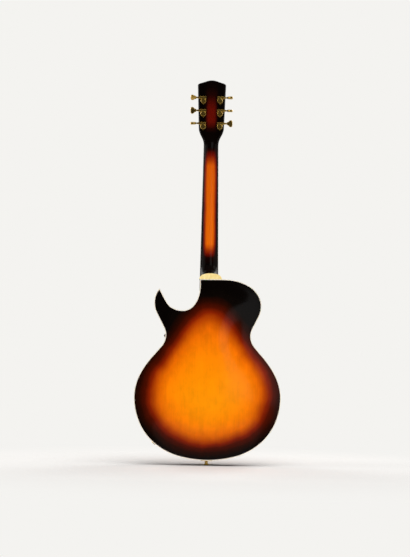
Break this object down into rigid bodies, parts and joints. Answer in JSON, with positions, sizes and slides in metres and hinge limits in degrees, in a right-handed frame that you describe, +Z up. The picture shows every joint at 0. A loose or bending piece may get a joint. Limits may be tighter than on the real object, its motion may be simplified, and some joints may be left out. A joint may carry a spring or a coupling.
{
  "type": "archtop guitar",
  "caption": "Hollow electric archtop guitar with a sharp cutaway, arched plates, f-holes, set neck, geared tuners, floating bridge and hinged trapeze tailpiece.",
  "frame": {"origin": "middle of the strap button's head, on its axis", "axes": "+X to the bass side, +Y out of the top towards the strings, +Z up along the body towards the headstock"},
  "size_m": [0.413, 0.1436, 1.1017],
  "materials": {
    "maple": "gloss sunburst lacquer",
    "neck_wood": "gloss sunburst lacquer",
    "top_wood": "gloss sunburst lacquer",
    "plain_wood": "bare",
    "dark_wood": "oiled",
    "binding": "gloss",
    "pearl": "pearl",
    "bone": "satin",
    "steel": "polished",
    "gold": "gold plated",
    "black_plastic": "gloss",
    "black_lacquer": "gloss lacquer",
    "amber_knob": "gloss",
    "switch_tip": "gloss"
  },
  "bodies": {
    "guitar": {"back_binding": "binding", "back_plate": "maple", "bridge_base": "dark_wood", "bridge_posts": "gold", "fingerboard": "dark_wood", "fingerboard_binding": "binding", "fingerboard_inlays": "pearl", "frets": "steel", "headstock_facing": "black_lacquer", "heel_cap": "binding", "linings": "plain_wood", "neck": "neck_wood", "neck_block": "plain_wood", "nut": "bone", "output_jack": "gold", "pickguard": "black_plastic", "pickguard_bracket": "gold", "pickup_covers": "gold", "pickup_pole_screws": "gold", "pickup_rings": "black_plastic", "potentiometers": "steel", "side_bass": "maple", "side_cutaway": "maple", "side_treble": "maple", "strap_button": "gold", "strings": "steel", "switch_body": "gold", "tail_block": "plain_wood", "tailpiece_bracket": "gold", "tailpiece_pin": "gold", "tailpiece_screws": "gold", "tone_bars": "plain_wood", "top_binding": "binding", "top_plate": "top_wood", "truss_rod": "steel", "truss_rod_cover": "black_plastic", "tuner_bushings": "gold", "tuner_housings": "gold", "tuner_screws": "gold"},
    "tailpiece": {"tailpiece_trapeze": "gold"},
    "bridge_saddle": {"bridge_saddle": "dark_wood"},
    "thumbwheel_bass": {"thumbwheel_bass": "gold"},
    "thumbwheel_treble": {"thumbwheel_treble": "gold"},
    "switch_lever": {"switch_lever": "switch_tip"},
    "tuner_key_1": {"tuner_key_1": "gold"},
    "tuner_post_1": {"tuner_post_1": "gold"},
    "tuner_key_2": {"tuner_key_2": "gold"},
    "tuner_post_2": {"tuner_post_2": "gold"},
    "tuner_key_3": {"tuner_key_3": "gold"},
    "tuner_post_3": {"tuner_post_3": "gold"},
    "tuner_key_4": {"tuner_key_4": "gold"},
    "tuner_post_4": {"tuner_post_4": "gold"},
    "tuner_key_5": {"tuner_key_5": "gold"},
    "tuner_post_5": {"tuner_post_5": "gold"},
    "tuner_key_6": {"tuner_key_6": "gold"},
    "tuner_post_6": {"tuner_post_6": "gold"},
    "knob_1": {"knob_1": "amber_knob"},
    "knob_2": {"knob_2": "amber_knob"},
    "knob_3": {"knob_3": "amber_knob"},
    "knob_4": {"knob_4": "amber_knob"}
  },
  "joints": [
    {"name": "tuner_key_1_turn", "type": "hinge", "parent": "guitar", "child": "tuner_key_1", "pos_m": [0.024, -0.01344, 0.9773], "axis": [1, 0, 0], "continuous": true},
    {"name": "tuner_post_1_turn", "type": "hinge", "parent": "guitar", "child": "tuner_post_1", "pos_m": [0.024, 0.00855, 0.9754], "axis": [0, 0.9511, 0.309], "continuous": true},
    {"name": "tuner_key_2_turn", "type": "hinge", "parent": "guitar", "child": "tuner_key_2", "pos_m": [0.024, -0.02484, 1.0124], "axis": [1, 0, 0], "continuous": true},
    {"name": "tuner_post_2_turn", "type": "hinge", "parent": "guitar", "child": "tuner_post_2", "pos_m": [0.024, -0.00286, 1.0105], "axis": [0, 0.9511, 0.309], "continuous": true},
    {"name": "tuner_key_3_turn", "type": "hinge", "parent": "guitar", "child": "tuner_key_3", "pos_m": [0.024, -0.03624, 1.04749], "axis": [1, 0, 0], "continuous": true},
    {"name": "tuner_post_3_turn", "type": "hinge", "parent": "guitar", "child": "tuner_post_3", "pos_m": [0.024, -0.01426, 1.04559], "axis": [0, 0.9511, 0.309], "continuous": true},
    {"name": "tuner_key_4_turn", "type": "hinge", "parent": "guitar", "child": "tuner_key_4", "pos_m": [-0.024, -0.01344, 0.9773], "axis": [1, 0, 0], "continuous": true},
    {"name": "tuner_post_4_turn", "type": "hinge", "parent": "guitar", "child": "tuner_post_4", "pos_m": [-0.024, 0.00855, 0.9754], "axis": [0, 0.9511, 0.309], "continuous": true},
    {"name": "tuner_key_5_turn", "type": "hinge", "parent": "guitar", "child": "tuner_key_5", "pos_m": [-0.024, -0.02484, 1.0124], "axis": [1, 0, 0], "continuous": true},
    {"name": "tuner_post_5_turn", "type": "hinge", "parent": "guitar", "child": "tuner_post_5", "pos_m": [-0.024, -0.00286, 1.0105], "axis": [0, 0.9511, 0.309], "continuous": true},
    {"name": "tuner_key_6_turn", "type": "hinge", "parent": "guitar", "child": "tuner_key_6", "pos_m": [-0.024, -0.03624, 1.04749], "axis": [1, 0, 0], "continuous": true},
    {"name": "tuner_post_6_turn", "type": "hinge", "parent": "guitar", "child": "tuner_post_6", "pos_m": [-0.024, -0.01426, 1.04559], "axis": [0, 0.9511, 0.309], "continuous": true},
    {"name": "saddle_lift", "type": "slide", "parent": "guitar", "child": "bridge_saddle", "axis": [0, 1, 0], "range_m": [-0.003, 0.002], "deforming": ["strings"]},
    {"name": "thumbwheel_bass_turn", "type": "hinge", "parent": "bridge_saddle", "child": "thumbwheel_bass", "pos_m": [0.037, 0.0687, 0.27269], "axis": [0, 1, 0], "range_deg": [-1540, 1026], "deforming": ["strings"]},
    {"name": "thumbwheel_treble_turn", "type": "hinge", "parent": "bridge_saddle", "child": "thumbwheel_treble", "pos_m": [-0.037, 0.0687, 0.27269], "axis": [0, 1, 0], "range_deg": [-1540, 1026], "deforming": ["strings"]},
    {"name": "tailpiece_hinge", "type": "hinge", "parent": "guitar", "child": "tailpiece", "pos_m": [0, 0.0504, 0.0121], "axis": [1, 0, 0], "range_deg": [-4, 2], "deforming": ["strings"]},
    {"name": "knob_1_turn", "type": "hinge", "parent": "guitar", "child": "knob_1", "pos_m": [-0.092, 0.05632, 0.16509], "axis": [-0.0554, 0.9982, -0.0222], "range_deg": [-150, 150]},
    {"name": "knob_2_turn", "type": "hinge", "parent": "guitar", "child": "knob_2", "pos_m": [-0.146, 0.05, 0.18911], "axis": [-0.1775, 0.9841, 0.001], "range_deg": [-150, 150]},
    {"name": "knob_3_turn", "type": "hinge", "parent": "guitar", "child": "knob_3", "pos_m": [-0.07201, 0.05475, 0.11108], "axis": [-0.0735, 0.9913, -0.1091], "range_deg": [-150, 150]},
    {"name": "knob_4_turn", "type": "hinge", "parent": "guitar", "child": "knob_4", "pos_m": [-0.12801, 0.05022, 0.1291], "axis": [-0.1502, 0.9844, -0.0921], "range_deg": [-150, 150]},
    {"name": "switch_throw", "type": "hinge", "parent": "guitar", "child": "switch_lever", "pos_m": [0.08801, 0.04821, 0.44112], "axis": [0.9937, -0.112, -0.0018], "range_deg": [-12, 12]}
  ],
  "couplings": [
    {"joint": "tuner_post_1_turn", "follows": "tuner_key_1_turn", "ratio": 0.0625},
    {"joint": "tuner_post_2_turn", "follows": "tuner_key_2_turn", "ratio": 0.0625},
    {"joint": "tuner_post_3_turn", "follows": "tuner_key_3_turn", "ratio": 0.0625},
    {"joint": "tuner_post_4_turn", "follows": "tuner_key_4_turn", "ratio": -0.0625},
    {"joint": "tuner_post_5_turn", "follows": "tuner_key_5_turn", "ratio": -0.0625},
    {"joint": "tuner_post_6_turn", "follows": "tuner_key_6_turn", "ratio": -0.0625},
    {"joint": "saddle_lift", "follows": "thumbwheel_bass_turn", "m_per_rad": 0.00011141},
    {"joint": "thumbwheel_treble_turn", "follows": "thumbwheel_bass_turn", "ratio": 1}
  ]
}
